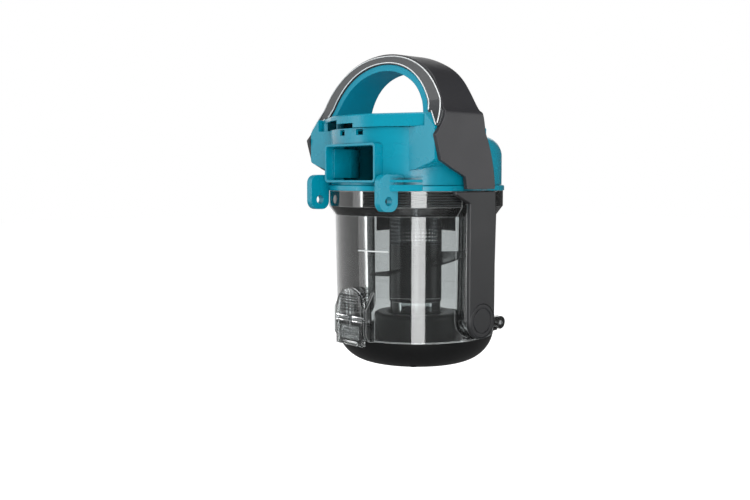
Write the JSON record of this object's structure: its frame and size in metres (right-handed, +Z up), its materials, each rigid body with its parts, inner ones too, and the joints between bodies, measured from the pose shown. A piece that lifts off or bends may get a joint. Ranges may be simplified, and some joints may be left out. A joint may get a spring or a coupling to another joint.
{
  "type": "cyclone dust container",
  "caption": "Cyclone dust container of a canister vacuum cleaner: clear bin, carrying hoop, front inlet duct, hinged bottom lid with push release.",
  "frame": {"origin": "centre of the bottom lid's resting face, on the bin's axis", "axes": "+Z up through the handle's apex, -Y the way the inlet duct faces, +Y the side of the lid hinge, X across the two side panels"},
  "size_m": [0.18, 0.181, 0.2842],
  "materials": {
    "smoke_clear": "smoke-tinted transparent, polished",
    "strap_plastic": "fine satin grain",
    "screw_steel": "zinc plated",
    "pin_steel": "ground",
    "spring_steel": "drawn wire",
    "lid_plastic": "black, satin gloss",
    "seal_rubber": "soft matt",
    "button_clear": "clear, polished",
    "ring_plastic": "black, glossy ribs",
    "teal_plastic": "teal, satin gloss",
    "handle_plastic": "dark grey, fine satin grain",
    "trim_plastic": "mid grey satin with bright edges",
    "grip_plastic": "teal, soft satin",
    "cyclone_plastic": "black, semi-gloss",
    "screen_steel": "black perforated sleeve",
    "cup_clear": "clear, polished"
  },
  "bodies": {
    "bin": {"bin_shell": "smoke_clear", "strap_left": "strap_plastic", "strap_right": "strap_plastic", "strap_cap_left": "strap_plastic", "strap_cap_right": "strap_plastic", "strap_screws": "screw_steel", "lid_hinge_pin": "pin_steel", "button_pin": "pin_steel", "button_spring": "spring_steel"},
    "lid": {"lid_shell": "lid_plastic", "lid_plate": "lid_plastic", "lid_gasket": "seal_rubber", "outlet_gasket": "seal_rubber", "lid_screws": "screw_steel"},
    "button": {"release_button": "button_clear"},
    "upper_unit": {"seal_ring": "ring_plastic", "bin_seal": "seal_rubber", "skirt_ring": "teal_plastic", "lug_left": "teal_plastic", "lug_right": "teal_plastic", "housing": "teal_plastic", "top_plate": "teal_plastic", "plate_screws": "screw_steel", "inlet_duct": "teal_plastic", "inlet_guide": "teal_plastic", "handle_shell": "handle_plastic", "handle_trim": "trim_plastic", "grip_insert": "grip_plastic", "vortex_tube": "cyclone_plastic", "baffle": "cyclone_plastic", "lint_screen": "screen_steel", "outlet_tube": "cyclone_plastic", "outlet_cup": "cup_clear", "spiral_fin": "cyclone_plastic"}
  },
  "joints": [
    {"name": "lid_hinge", "type": "hinge", "parent": "bin", "child": "lid", "pos_m": [0, 0.084, 0.0285], "axis": [1, 0, 0], "range_deg": [0, 95]},
    {"name": "button_press", "type": "hinge", "parent": "bin", "child": "button", "pos_m": [0, -0.07805, 0.045], "axis": [-1, 0, 0], "range_deg": [0, 5], "stiffness_Nm_per_rad": 0.2},
    {"name": "upper_unit_lift", "type": "slide", "parent": "bin", "child": "upper_unit", "axis": [0, 0, 1], "range_m": [0, 0.14]}
  ]
}
